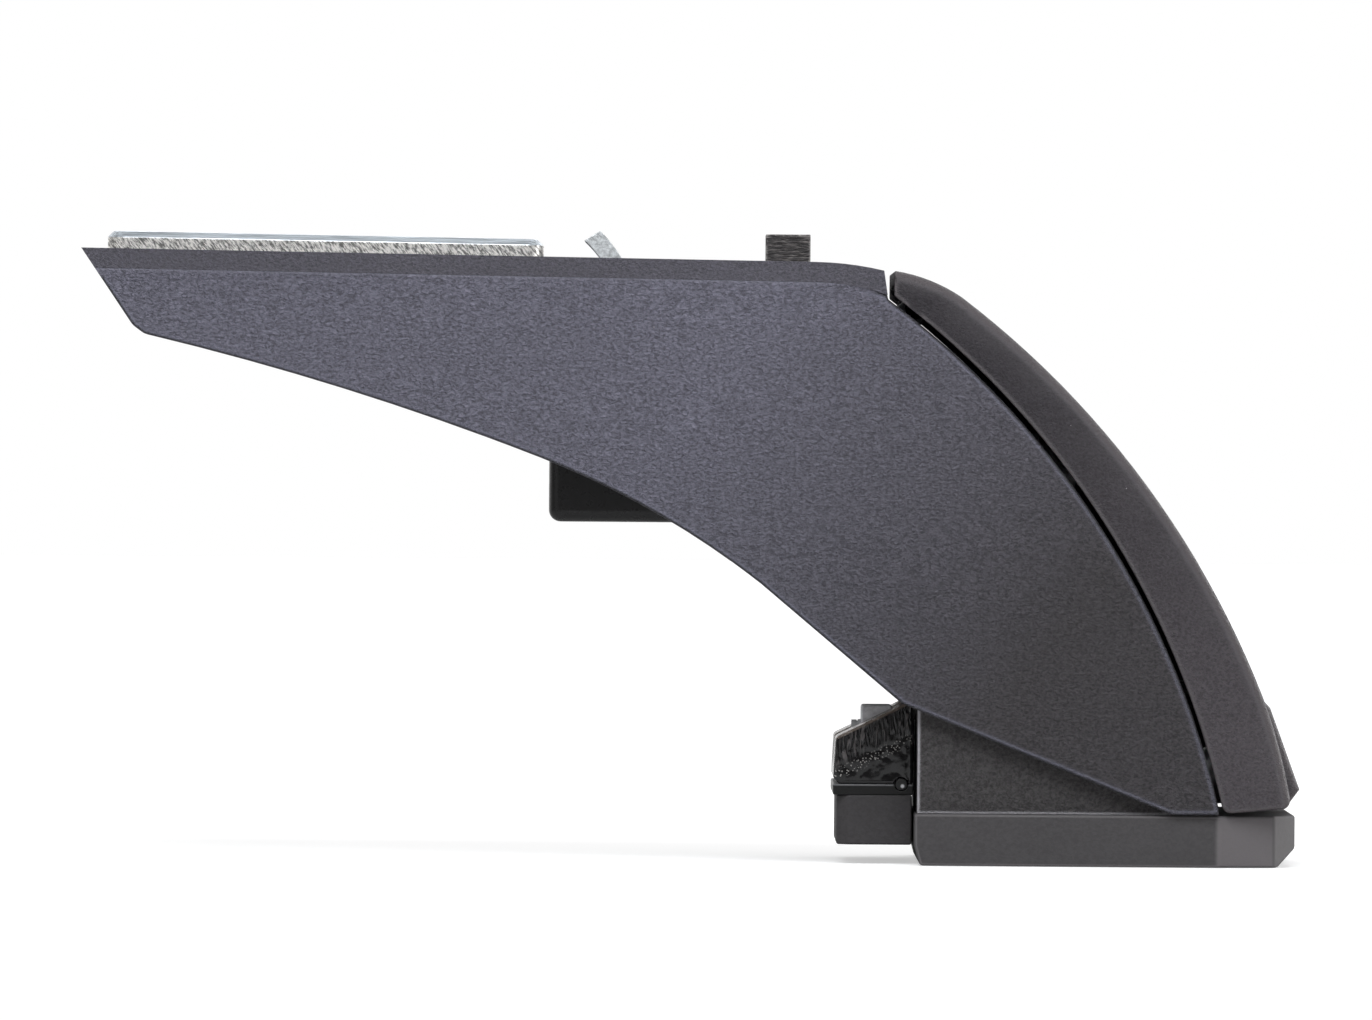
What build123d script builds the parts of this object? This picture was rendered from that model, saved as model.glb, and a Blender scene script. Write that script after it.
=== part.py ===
from build123d import *
import math
import os

# Foot of a roof bar: a hollow plastic arm over a pressed steel frame. It stands on a rubber
# pad, carries the bar on top and is clamped at its inboard end by a cast jaw.
# Millimetres, +Z up, +X outboard, origin in the middle of the main pad's underside.

# Bar seat: a tilted plane through the rims of the saddle
seat_x = -109.0
seat_z = 100.9
seat_tilt = 0.7
saddle_edge = 3.4
saddle_dip = 2.2
saddle_land = 2.0

# Arm shell, as it shows from the side
tip_x = -171.1
end_rake = 0.675
chin_drop = 12.8
chin_round = 3.0
heel_in = 10.6
heel_z = 87.4
belly_x = -94.5
belly_z = 67.3
belly_sag = 1.2
shin_x = -57.7
shin_z = 46.6
knee_x = -34.2
knee_z = 26.9
toe_x = 10.8
brow_x = -48.9
nose_x = -37.6
nose_z = 98.8
nose_in = 0.6
lip_drop = 4.7
lip_land = 0.625
front_x = 18.6
front_z = 9.8
front_sag = 9.07
shell_wall = 2.5
shell_seat = 0.1

# Flanks of shell and cover, seen from the front
flank_base = 35.0
flank_top = 32.5
flank_crown = 0.6
flank_height = 110.0

# Ribs and screw bosses inside the shell
rib_thick = 1.6
rib_pitch = 15.0
rib_first = -150.0
rib_count = 8
rib_gap = 3.0
rib_edge = 4.0
boss_r = 4.0
shell_screw_r = 1.75
shell_screw_head_r = 3.5
shell_screw_head = 2.4
shell_screw_grip = 7.0
shell_screw_places = [(-53.5, 82.0), (-22.0, 58.0)]

# Rubber pads
pad_left = -31.9
pad_right = 31.6
pad_height = 8.6
pad_in = 1.0
pad_bevel_run = 0.9
pad_bevel_rise = 3.3
pad_chamfer = 3.1
pad_slow_x = 18.6
pad_slow_in = 2.4
pad_fast_x = 28.0
pad_fast_in = 9.0
peg_r = 2.5
peg_height = 1.7
peg_gap = 0.15
peg_inset = 12.0
groove_depth = 0.8
groove_wide = 2.0
groove_pitch = 9.0
groove_count = 3
groove_end = 6.0

# Base shoe and base plate
shoe_left = -31.5
shoe_wall = 2.3
shoe_floor = 2.0
shoe_lap = 4.0
shoe_end = 18.0
shoe_gap = 0.2
plate_thick = 3.0
plate_gap = 0.4
plate_end = 16.0
notch_half = 8.2
notch_x = 2.4

# Pressed steel frame
sheet = 3.0
frame_in = 14.0
frame_end_in = 12.0
frame_brow_x = -49.4
frame_nose_x = -39.0
frame_nose_z = 90.0
frame_toe_x = 2.0
frame_sag = 7.5
hem_end_z = 89.8
hem_belly_up = 3.6
hem_shin_up = 4.0
hem_knee_x = -25.5
hem_knee_z = 27.0
hem_toe_x = -24.0
foot_wide = 8.5
foot_left = -24.0
foot_right = 1.0
foot_screw_xs = [-18.5, -4.5]
foot_screw_r = 2.5
foot_screw_head_r = 4.1
foot_screw_head = 3.2
hole_gap = 0.25
thread_gap = 0.05

# Spacer tubes between the frame's flanges
spacer_places = [(-46.0, 53.0), (-13.0, 31.0)]
spacer_r = 4.0
rivet_r = 2.0
rivet_head_r = 3.8
rivet_head = 1.4

# Cover hinge
hinge_x = -32.0
hinge_z = 92.8
hinge_pin_r = 1.5
ear_r = 2.2
ear_root_x = -41.0
ear_root_z = 83.0
ear_root_r = 4.0
hook_r = 2.9
hook_wide = 6.0
hook_in = 3.0
running = 0.08
hook_mouth = 2.6
hook_mouth_deep = 7.8
hook_mouth_turn = 45.0

# Front cover
gap_top = 1.7
gap_low = 0.8
cover_low_z = 9.0
cover_lip_up = 0.5
cover_lead_up = 1.0
cover_sag = 9.16
cover_wall = 2.5
crown_knee_x = -24.7
crown_knee_z = 94.5
crown_knee_sag = 0.67
crown_low_x = 25.8
crown_low_z = 28.5
crown_sag = 5.73
hem_x = 30.7
hem_z = 9.9
hem_sag = 0.5
cover_round = 1.5
crown_edge_long = 20.0
crown_edge_past = 6.0

# Lock surround and lock
bulge_top_x = 27.9
bulge_top_z = 26.2
bulge_low_x = 32.9
bulge_low_z = 12.6
bulge_half = 12.5
bulge_round = 2.0
bulge_in = 6.0
bulge_under = 0.5
lock_drop = 7.3
sleeve_r = 6.0
sleeve_long = 10.6
sleeve_inset = 0.3
sleeve_boss_wall = 1.6
sleeve_boss_long = 8.0
core_r = 4.5
press = 0.02
key_slot_half = 2.6
key_slot_wide = 0.9
key_slot_deep = 6.0
core_web = 1.0
cam_at = 11.5
cam_thick = 2.0
cam_hub_r = 4.5
cam_reach = 11.0
cam_wide = 7.0
cam_screw_r = 1.5
cam_screw_head_r = 2.8
cam_screw_head = 1.6
cam_screw_long = 6.0

# Keeper that the lock's cam catches
keeper_thick = 2.0
keeper_half = 8.0
keeper_left = -14.0
keeper_low = 28.5
keeper_high = 42.0
keeper_lip_x = 20.2
keeper_lip_z = 23.5

# T-slot plate and what holds it
tee_in = 3.5
tee_long = 73.0
tee_half = 11.0
tee_rise = 3.15
tee_thick = 4.0
tee_chamfer = 1.0
tee_corner = 3.0
tee_screw_in = 17.0
tee_screw_pitch = 38.0
tee_screw_r = 3.0
tee_head_r = 5.8
tee_head_sink = 0.2
tee_hex = 2.3
tee_hex_deep = 2.0
tee_spacer_r = 6.0
tee_nut_r = 5.77
tee_nut_thick = 5.0

# Guide block
block_left = -57.2
block_right = -49.7
block_half = 8.0
block_top = 105.0
block_chamfer = 0.5
block_screw_r = 2.5
block_screw_head_r = 4.0
block_screw_head = 2.8
block_screw_grip = 7.0
block_hole_spare = 1.0

# Claw lever with its pivot and housing
pivot_x = -80.0
pivot_z = 89.5
pivot_r = 2.5
lever_arm = 24.5
lever_half = 9.0
lever_sheet = 3.0
lever_eye_r = 5.5
lever_fork_r = 5.2
trunnion_r = 3.0
trunnion_slack = 0.5
claw_tip_x = -85.0
claw_tip_z = 105.4
claw_back_x = -87.7
claw_back_z = 103.7
claw_root_x = -78.4
claw_root_z = 93.0
claw_heel_x = -81.6
claw_heel_z = 92.4
claw_sag = 1.1
window_left = -89.0
window_right = -74.0
window_gap = 1.0
clip_r = 4.2
clip_thick = 0.8
clip_out = 0.4
pin_out = 1.8

housing_left = -93.2
housing_right = -62.0
housing_low = 56.6
housing_high = 83.0
housing_wall = 2.0
housing_gap = 0.2
housing_round = 2.0
housing_screw_places = [(-87.5, 78.0), (-67.5, 78.0)]
housing_screw_r = 1.5
housing_screw_head_r = 3.0
housing_screw_head = 1.8
housing_screw_grip = 4.6

# Upper screw, which swings the claw
upper_r = 3.0
upper_end = -88.0
upper_seat_x = -11.0
upper_seat_r = 7.0
upper_seat_back = 8.0
upper_head_r = 5.0
upper_head = 6.0
upper_hex = 2.5
upper_hex_deep = 3.2
upper_nut_r = 5.0
face_gap = 0.1
bore_gap = 0.4

# Lower screw, which closes the jaw
lower_z = 20.0
lower_r = 4.0
lower_end = -45.0
lower_seat_x = 3.6
lower_seat_r = 6.2
lower_seat_back = 5.0
lower_head_r = 6.4
lower_head = 8.0
lower_hex = 3.0
lower_hex_deep = 4.2

# Clamp jaw and what it carries
jaw_left = -45.4
jaw_gap = 0.5
jaw_half = 22.0
jaw_low = 13.2
jaw_shoulder_x = -45.0
jaw_shoulder_z = 21.0
jaw_top_x = -33.4
jaw_top_z = 26.7
jaw_foot_run = 1.0
jaw_round = 0.6
nut_half = 6.15
nut_thick = 5.2
nut_left = -40.6
nut_gap = 0.15
jaw_plate_thick = 1.8
jaw_plate_inset = 0.2
inner_pad_left = -44.8
inner_pad_low = 3.1
inner_pad_gap = 0.3
inner_pad_chamfer = 2.0
dowel_x = -34.0
dowel_r = 1.0

far = 200.0
near = 50.0
across = (0, 1, 0)
outboard = (1, 0, 0)


def rim_z(x, under=0.0):
    """Height of the seat's rims at x, or of a plane that lies so much under them."""
    tilt = math.radians(seat_tilt)
    return seat_z - under / math.cos(tilt) - math.tan(tilt) * (x - seat_x)


def end_x(z, inset=0.0):
    """The shell's raked inboard end at height z."""
    run = inset * math.hypot(1, end_rake)
    return tip_x + (rim_z(tip_x) - z) * end_rake + run


def outline(*edges):
    return make_face((Curve() + list(edges)).edges())


def side(face, half):
    """A side view profile made a solid, as wide to both sides of the middle plane."""
    return extrude(Plane.XZ * face, amount=half, both=True)


def box(x0, x1, half, z0, z1, y=0.0):
    return Pos((x0 + x1) / 2, y, (z0 + z1) / 2) * Box(x1 - x0, 2 * half, z1 - z0)


def pane(x0, x1, z0, z1):
    """A rectangle in a side view profile."""
    return Pos((x0 + x1) / 2, (z0 + z1) / 2) * Rectangle(x1 - x0, z1 - z0)


def rod(radius, start, way, length):
    place = Plane(origin=start, z_dir=way)
    return place * Cylinder(radius, length, align=(Align.CENTER, Align.CENTER, Align.MIN))


def cross_rod(radius, x, z, half):
    """A rod across the foot, as long to both sides of the middle plane."""
    return rod(radius, (x, -half, z), across, 2 * half)


def hexagon(radius, start, way, length):
    """A prism with six sides, radius apart from its axis."""
    place = Plane(origin=start, z_dir=way)
    return extrude(place * RegularPolygon(radius, 6, major_radius=False), amount=length)


def on_seat(part):
    """From the seat's own frame, its origin on the rims, to the foot's."""
    return Pos(seat_x, 0, seat_z) * Rot(0, seat_tilt, 0) * part


def flanks(inset=0.0):
    """The room between the crowned, slightly leaning flanks, less an inset on both sides."""
    low = flank_base - inset
    high = flank_top - inset
    face = outline(
        Line((-low, 0), (low, 0)),
        SagittaArc((low, 0), (high, flank_height), -flank_crown),
        Line((high, flank_height), (-high, flank_height)),
        SagittaArc((-high, flank_height), (-low, 0), -flank_crown),
    )
    return extrude(Plane.YZ.offset(-far) * face, amount=2 * far)


frame_half = flank_base - frame_in
pad_half = flank_base - pad_in
hook_y = frame_half - sheet - hook_in - hook_wide / 2
saddle_half = flank_top - saddle_land
shoe_top = pad_height + shoe_floor
plate_top = shoe_top + plate_thick
web_under = saddle_edge + shell_wall + shell_seat
pitch_line = pivot_z - lever_arm
jaw_right = shoe_left - jaw_gap
nut_right = nut_left + nut_thick


def shell_front():
    """The shell's outboard edge, which the cover follows."""
    top = (nose_x + nose_in, nose_z - lip_drop)
    return SagittaArc(top, (front_x, front_z), front_sag)


def belly():
    """The arm's underside, from the heel under the tip to the knee over the shoe."""
    heel = (tip_x + heel_in, heel_z)
    mid = (belly_x, belly_z)
    low = SagittaArc(heel, mid, belly_sag)
    bend = TangentArc(mid, (shin_x, shin_z), tangent=low % 1)
    return low, bend, Line((shin_x, shin_z), (knee_x, knee_z))


def arm_side():
    """Side view of the whole arm under its saddle."""
    top_z = rim_z(tip_x, saddle_edge)
    top_left = (end_x(top_z), top_z)
    brow = (brow_x, rim_z(brow_x, saddle_edge))
    top = Line(top_left, brow)
    chin_z = rim_z(tip_x) - chin_drop
    chin = (end_x(chin_z), chin_z)
    low, bend, shin = belly()
    lip = (nose_x + nose_in, nose_z - lip_drop)
    face = outline(
        top,
        TangentArc(brow, (lip[0], lip[1] + lip_land), tangent=top % 1),
        Line((lip[0], lip[1] + lip_land), lip),
        shell_front(),
        Line((front_x, front_z), (front_x, pad_height + shell_seat)),
        Line((front_x, pad_height + shell_seat), (toe_x, pad_height + shell_seat)),
        Line((toe_x, pad_height + shell_seat), (knee_x, knee_z)),
        shin,
        bend,
        low,
        Line((tip_x + heel_in, heel_z), chin),
        Line(chin, top_left),
    )
    corners = face.vertices().sort_by_distance((chin[0], chin[1], 0))[:2]
    return fillet(corners, chin_round)


def arm_room():
    """The hollow of the arm, open below and outboard."""
    under = saddle_edge + shell_wall
    top_z = rim_z(tip_x, under)
    top_left = (end_x(top_z, shell_wall), top_z)
    brow = (brow_x, rim_z(brow_x, under))
    top = Line(top_left, brow)
    lip_x = nose_x + nose_in
    lip_z = nose_z - lip_drop + lip_land - shell_wall
    return outline(
        top,
        TangentArc(brow, (lip_x, lip_z), tangent=top % 1),
        Polyline(
            (lip_x, lip_z), (lip_x, far), (far, far), (far, -far),
            (end_x(-far, shell_wall), -far), top_left,
        ),
    )


def claw_window(low, high):
    """Room for the claw through whatever lies between the lever's pivot and the bar."""
    return box(window_left, window_right, lever_half + window_gap, low, high)


def block_window(gap):
    return box(block_left - gap, block_right + gap, block_half + gap, hem_knee_z, far)


def tee_places():
    first = tip_x + tee_in + tee_screw_in - seat_x
    return [(first, 0), (first + tee_screw_pitch, 0)]


def tee_holes(radius):
    """Upright holes through the seat at the T-slot plate's screws."""
    holes = [Pos(u, v, 0) * Cylinder(radius, far) for u, v in tee_places()]
    return on_seat(Part() + holes)


def saddle_side():
    """Side view of the rubber saddle, from its rims down to the shell."""
    tip = (tip_x, rim_z(tip_x))
    brow = (brow_x, rim_z(brow_x))
    top = Line(tip, brow)
    nose = (nose_x, nose_z)
    lip = (nose_x + nose_in, nose_z - lip_drop + lip_land)
    low_z = rim_z(tip_x, saddle_edge)
    low_left = (end_x(low_z), low_z)
    low_brow = (brow_x, rim_z(brow_x, saddle_edge))
    low = Line(low_left, low_brow)
    return outline(
        top,
        TangentArc(brow, nose, tangent=top % 1),
        Line(nose, lip),
        TangentArc(low_brow, lip, tangent=low % 1),
        low,
        Line(low_left, tip),
    )


def saddle_pad():
    """Soft saddle on the shell, hollowed to the underside of the bar."""
    hollow_r = (saddle_half**2 + saddle_dip**2) / (2 * saddle_dip)
    hollow = Pos(0, 0, hollow_r - saddle_dip) * Rot(0, 90, 0) * Cylinder(hollow_r, 2 * far)
    pad = side(saddle_side(), pad_half + flank_base) & flanks()
    pad -= on_seat(hollow)
    pad -= tee_holes(tee_spacer_r + hole_gap)
    pad -= claw_window(pivot_z, far)
    return pad - block_window(hole_gap)


def arm_ribs():
    """Upright ribs between the shell's flanks and the frame, and the shell's screw bosses."""
    reach = offset(arm_side(), amount=-rib_edge)
    room = side(reach, pad_half + flank_base) & side(arm_room(), far) & flanks(shell_wall / 2)
    ribs = [box(x - rib_thick / 2, x + rib_thick / 2, far, 0, far) for x in rib_xs()]
    core = box(-far, far, frame_half + rib_gap, -far, far)
    ribs = ((Part() + ribs) & room) - core
    bosses = Part() + [cross_rod(boss_r, x, z, flank_base) for x, z in shell_screw_places]
    inner = box(-far, far, frame_half + shell_seat, -far, far)
    return ribs + ((bosses & flanks(shell_wall / 2)) - inner)


def rib_xs():
    return [rib_first + i * rib_pitch for i in range(rib_count)]


def arm_shell():
    """Hollow moulded arm with a closed tip, two flanks and a flat roof under the saddle."""
    body = side(arm_side(), pad_half + flank_base) & flanks()
    body -= side(arm_room(), far) & flanks(shell_wall)
    body += arm_ribs()
    for x, z in shell_screw_places:
        body -= cross_rod(shell_screw_r + thread_gap, x, z, frame_half + shell_screw_grip)
    body -= tee_holes(tee_spacer_r + hole_gap)
    body -= claw_window(pivot_z, far)
    return body - block_window(hole_gap)


def shell_screws():
    """Screws from inside the frame into the shell's bosses."""
    screws = []
    inner = frame_half - sheet
    for x, z in shell_screw_places:
        for hand in (-1, 1):
            way = (0, hand, 0)
            top = (x, hand * (inner - shell_screw_head), z)
            head = rod(shell_screw_head_r, top, way, shell_screw_head)
            shank = rod(shell_screw_r, (x, hand * inner, z), way, sheet + shell_screw_grip)
            screws.append(head + shank - hexagon(shell_screw_r, top, way, shell_screw_head / 2))
    return screws


def frame_room(grow=0.0):
    """Side view of all that lies inboard of and under the frame's web."""
    left = tip_x - far
    top_left = (left, rim_z(left, web_under))
    brow = (frame_brow_x, rim_z(frame_brow_x, web_under))
    top = Line(top_left, brow)
    nose = (frame_nose_x, frame_nose_z)
    toe = (frame_toe_x, plate_top)
    face = outline(
        top,
        TangentArc(brow, nose, tangent=top % 1),
        SagittaArc(nose, toe, frame_sag),
        Polyline(toe, (frame_toe_x, -far), (left, -far), top_left),
    )
    return offset(face, amount=grow) if grow else face


def frame_reach():
    """Side view of the frame's flanges, cut to the arm's underside and the base plate."""
    left = tip_x + frame_end_in
    low = SagittaArc((left, hem_end_z), (belly_x, belly_z + hem_belly_up), belly_sag)
    shin = (shin_x, shin_z + hem_shin_up)
    return outline(
        low,
        TangentArc((belly_x, belly_z + hem_belly_up), shin, tangent=low % 1),
        Polyline(
            shin, (hem_knee_x, hem_knee_z), (hem_toe_x, plate_top), (far, plate_top),
            (far, far), (left, far), (left, hem_end_z),
        ),
    )


def frame_feet():
    """Feet turned out from the flanges onto the base plate."""
    feet = []
    mid = frame_half + foot_wide / 2 - sheet / 2
    for hand in (-1, 1):
        half = (foot_wide + sheet) / 2
        feet.append(box(foot_left, foot_right, half, plate_top, plate_top + sheet, hand * mid))
    return Part() + feet


def hinge_ears():
    """Ears of the flanges that hold the cover's hinge pin."""
    rings = Curve() + [
        CenterArc((hinge_x, hinge_z), ear_r, 0, 360),
        CenterArc((ear_root_x, ear_root_z), ear_root_r, 0, 360),
    ]
    ears = side(make_hull(rings.edges()), frame_half)
    return ears - box(-far, far, frame_half - sheet, -far, far)


def steel_frame():
    """Channel of pressed steel, its web above and outboard, on two turned feet."""
    frame = side(frame_room(), frame_half) - side(frame_room(-sheet), frame_half - sheet)
    frame &= side(frame_reach(), far)
    frame += frame_feet()
    frame += hinge_ears()
    frame -= tee_holes(tee_screw_r + hole_gap)
    frame -= claw_window(pivot_z, far)
    frame -= cross_rod(pivot_r + thread_gap, pivot_x, pivot_z, far)
    frame -= cross_rod(hinge_pin_r + thread_gap, hinge_x, hinge_z, far)
    frame -= rod(upper_r + bore_gap, (upper_end, 0, pitch_line), outboard, far)
    frame -= rod(lower_r + bore_gap, (lower_end, 0, lower_z), outboard, far)
    frame -= block_screw_hole(block_screw_r + hole_gap)
    for x, z in shell_screw_places:
        frame -= cross_rod(shell_screw_r + hole_gap, x, z, far)
    for x, z in spacer_places:
        frame -= cross_rod(rivet_r + thread_gap, x, z, far)
    for x, z in housing_screw_places:
        frame -= cross_rod(housing_screw_r + hole_gap, x, z, far)
    return frame - foot_screw_holes(foot_screw_r + hole_gap)


def foot_screw_y():
    return frame_half + foot_wide / 2


def foot_screw_holes(radius):
    holes = []
    for x in foot_screw_xs:
        for hand in (-1, 1):
            holes.append(rod(radius, (x, hand * foot_screw_y(), 0), (0, 0, 1), far))
    return Part() + holes


def foot_screws():
    """Screws down through the frame's feet and the base plate."""
    screws = []
    seat = plate_top + sheet
    grip = seat - pad_height - shoe_floor / 2
    for x in foot_screw_xs:
        for hand in (-1, 1):
            y = hand * foot_screw_y()
            head = rod(foot_screw_head_r, (x, y, seat), (0, 0, 1), foot_screw_head)
            shank = rod(foot_screw_r, (x, y, seat), (0, 0, -1), grip)
            low = (x, y, seat + foot_screw_head / 2)
            screws.append(head + shank - hexagon(foot_screw_r / 2, low, (0, 0, 1), foot_screw_head))
    return screws


def base_plate():
    """Flat steel plate in the shoe, notched for the lower screw's head."""
    plate = box(shoe_left + shoe_wall + plate_gap, plate_end, flat_half(), shoe_top, plate_top)
    plate -= box(notch_x, far, notch_half, 0, far)
    return plate - foot_screw_holes(foot_screw_r + thread_gap)


def flat_half():
    """Half width of what lies flat between the shoe's walls."""
    share = plate_top / flank_height
    wall = flank_base + (flank_top - flank_base) * share
    return wall - shell_wall - shoe_gap - shoe_wall - plate_gap


def base_shoe():
    """Moulded shoe between the shell's flanks, with a raised inboard wall."""
    slope = (knee_z - pad_height) / (toe_x - knee_x)
    left_z = knee_z - slope * (shoe_left - knee_x) + shoe_lap
    right_z = max(left_z - slope * (shoe_end - shoe_left), shoe_top)
    face = outline(Polyline(
        (shoe_left, pad_height), (shoe_end, pad_height), (shoe_end, right_z),
        (shoe_left, left_z), (shoe_left, pad_height),
    ))
    shoe = side(face, far) & flanks(shell_wall + shoe_gap)
    room = box(shoe_left + shoe_wall, far, far, shoe_top, far) & flanks(shell_wall + shoe_gap + shoe_wall)
    shoe -= room
    shoe -= rod(lower_r + bore_gap, (lower_end, 0, lower_z), outboard, far)
    shoe -= foot_screw_holes(foot_screw_r + hole_gap)
    return shoe - pegs(peg_r + peg_gap, shoe_floor)


def pegs(radius, height):
    """Pegs of the main pad in the shoe's floor."""
    found = []
    for x in (pad_left + peg_inset, shoe_end - peg_inset):
        for hand in (-1, 1):
            found.append(rod(radius, (x, hand * peg_inset, pad_height), (0, 0, 1), height))
    return Part() + found


def main_pad():
    """Rubber pad, narrowing outboard, with shallow grooves across its underside."""
    plan = outline(Polyline(
        (pad_left, -pad_half), (pad_slow_x, -pad_half), (pad_fast_x, pad_slow_in - pad_half),
        (pad_right, pad_fast_in - pad_half), (pad_right, pad_half - pad_fast_in),
        (pad_fast_x, pad_half - pad_slow_in), (pad_slow_x, pad_half), (pad_left, pad_half),
        (pad_left, -pad_half),
    ))
    profile = outline(Polyline(
        (pad_left + pad_bevel_run, 0), (pad_right - pad_chamfer, 0), (pad_right, pad_chamfer),
        (pad_right, pad_height), (pad_left, pad_height), (pad_left, pad_bevel_rise),
        (pad_left + pad_bevel_run, 0),
    ))
    pad = extrude(plan, amount=pad_height) & side(profile, far)
    mid = (pad_left + pad_right) / 2
    half = pad_half - groove_end
    for i in range(groove_count):
        for hand in (-1, 1):
            x = mid + hand * (i + 1) * groove_pitch
            pad -= box(x - groove_wide / 2, x + groove_wide / 2, half, -groove_depth, groove_depth)
    return pad + pegs(peg_r, peg_height)


def spacers():
    """Tubes that hold the frame's flanges apart."""
    inner = frame_half - sheet
    tubes = []
    for x, z in spacer_places:
        tubes.append(cross_rod(spacer_r, x, z, inner) - cross_rod(rivet_r + hole_gap, x, z, far))
    return tubes


def frame_rivets():
    """Rivets through the spacer tubes, headed outside the flanges."""
    rivets = []
    for x, z in spacer_places:
        rivet = cross_rod(rivet_r, x, z, frame_half + rivet_head)
        for hand in (-1, 1):
            rivet += rod(rivet_head_r, (x, hand * frame_half, z), (0, hand, 0), rivet_head)
        rivets.append(rivet)
    return rivets


def hinge_pin():
    return cross_rod(hinge_pin_r, hinge_x, hinge_z, frame_half)


def cover_fat(shrink=0.0):
    """Side view of all that lies inboard of the cover's crown."""
    top = (nose_x + gap_top, nose_z)
    start = (top[0] - near, top[1] + cover_lead_up)
    knee = (crown_knee_x, crown_knee_z)
    low = (crown_low_x, crown_low_z)
    hem = (hem_x, hem_z)
    face = outline(
        Line(start, top),
        SagittaArc(top, knee, crown_knee_sag),
        SagittaArc(knee, low, crown_sag),
        SagittaArc(low, hem, hem_sag),
        Polyline(hem, (hem_x, -near), (start[0], -near), start),
    )
    return offset(face, amount=-shrink) if shrink else face


def cover_edge():
    """Side view of all that lies outboard of the gap between shell and cover."""
    top = (nose_x + gap_top, nose_z - lip_drop + cover_lip_up)
    low = (front_x + gap_low, cover_low_z)
    hem = (hem_x, hem_z)
    return outline(
        SagittaArc(top, low, cover_sag),
        Polyline(low, hem, (far, hem_z), (far, far), (top[0], far), top),
    )


def slope_way():
    """Direction out of the lock surround's slanted face."""
    run = bulge_low_x - bulge_top_x
    drop = bulge_top_z - bulge_low_z
    size = math.hypot(run, drop)
    return (drop / size, 0, run / size)


def lock_point(depth):
    """A point on the lock's axis, so deep under the slanted face."""
    way = slope_way()
    share = lock_drop / math.hypot(bulge_low_x - bulge_top_x, bulge_top_z - bulge_low_z)
    x = bulge_top_x + (bulge_low_x - bulge_top_x) * share - way[0] * depth
    z = bulge_top_z + (bulge_low_z - bulge_top_z) * share - way[2] * depth
    return (x, 0, z)


def inward():
    way = slope_way()
    return (-way[0], 0, -way[2])


def lock_surround():
    """Raised boss low on the cover, with a flat slanted face for the lock."""
    face = outline(Polyline(
        (bulge_top_x - bulge_in, bulge_top_z + bulge_in), (crown_low_x, crown_low_z),
        (bulge_top_x, bulge_top_z), (bulge_low_x, bulge_low_z), (bulge_low_x - bulge_round, hem_z),
        (bulge_low_x - 2 * bulge_in, hem_z - bulge_under), (bulge_top_x - bulge_in, bulge_top_z + bulge_in),
    ))
    body = side(face, bulge_half)
    rims = body.faces().filter_by(Axis.Y).edges()
    shown = rims.filter_by(lambda e: e.center().X > crown_low_x and e.center().Z > hem_z)
    return fillet(shown, cover_round)


def cover_hooks():
    """Two hooks under the cover's top that lie round the hinge pin."""
    hooks = []
    for hand in (-1, 1):
        y = hand * hook_y
        ring = rod(hook_r, (hinge_x, y - hook_wide / 2, hinge_z), across, hook_wide)
        hooks.append(ring + box(hinge_x, hinge_x + hook_r, hook_wide / 2, hinge_z, hinge_z + 2 * hook_r, y))
    return Part() + hooks


def front_cover():
    """Curved cover over the screws, with hooks at its top and the lock surround at its foot."""
    body = side(cover_fat(), far) & flanks() & side(cover_edge(), far)
    room = side(cover_fat(cover_wall), far) & flanks(cover_wall)
    past = shell_mid_x() + crown_edge_past
    edges = body.edges().filter_by(lambda e: e.length > crown_edge_long and e.center().X > past)
    body = fillet(edges, cover_round)
    body -= room
    body += lock_surround() - side(cover_fat(cover_wall), far)
    way = inward()
    boss = rod(sleeve_r + sleeve_boss_wall, lock_point(0), way, sleeve_boss_long)
    body += boss & side(cover_fat(), far) & side(cover_edge(), far)
    body += cover_hooks() & side(cover_fat(cover_wall / 2), far)
    body -= rod(sleeve_r + press, lock_point(-cover_wall), way, far)
    body -= cross_rod(hinge_pin_r + running, hinge_x, hinge_z, far)
    return body - hook_mouths()


def hook_mouths():
    """Slanted mouths through which the hooks slip onto the hinge pin."""
    size = 2 * hook_r
    bar = Box(hook_mouth, far, hook_mouth_deep, align=(Align.CENTER, Align.CENTER, Align.MAX))
    mouth = Pos(hinge_x, 0, hinge_z) * Rot(0, hook_mouth_turn, 0) * bar
    return mouth & box(hinge_x - size, hinge_x + size, hook_y + hook_wide, hinge_z - size, hinge_z)


def shell_mid_x():
    """How far outboard the middle of the gap between shell and cover lies."""
    return (shell_front() @ 0.5).X


def lock_sleeve():
    """Sleeve of the lock, pressed into the lock surround."""
    way = inward()
    body = rod(sleeve_r, lock_point(sleeve_inset), way, sleeve_long)
    return body - rod(core_r + running, lock_point(-sleeve_r), way, far)


def key_slot(way):
    """Slot for the key in the core's face."""
    place = Plane(origin=lock_point(0), z_dir=way, x_dir=across)
    return place * Box(2 * key_slot_half, 2 * key_slot_wide, 2 * key_slot_deep)


def lock_core():
    """Turning core of the lock with its key slot."""
    way = inward()
    core = rod(core_r, lock_point(2 * sleeve_inset), way, cam_at - 2 * sleeve_inset)
    core -= rod(cam_screw_r + thread_gap, lock_point(key_slot_deep + core_web), way, far)
    return core - key_slot(way)


def lock_cam():
    """Flat cam on the core's inner end, its arm across the foot while the lock is open."""
    way = inward()
    place = Plane(origin=lock_point(cam_at), z_dir=way, x_dir=across)
    arm = Pos(cam_reach / 2, 0, cam_thick / 2) * Box(cam_reach, cam_wide, cam_thick)
    cam = rod(cam_hub_r, lock_point(cam_at), way, cam_thick) + place * arm
    return cam - rod(cam_screw_r + hole_gap, lock_point(0), way, far)


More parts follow.
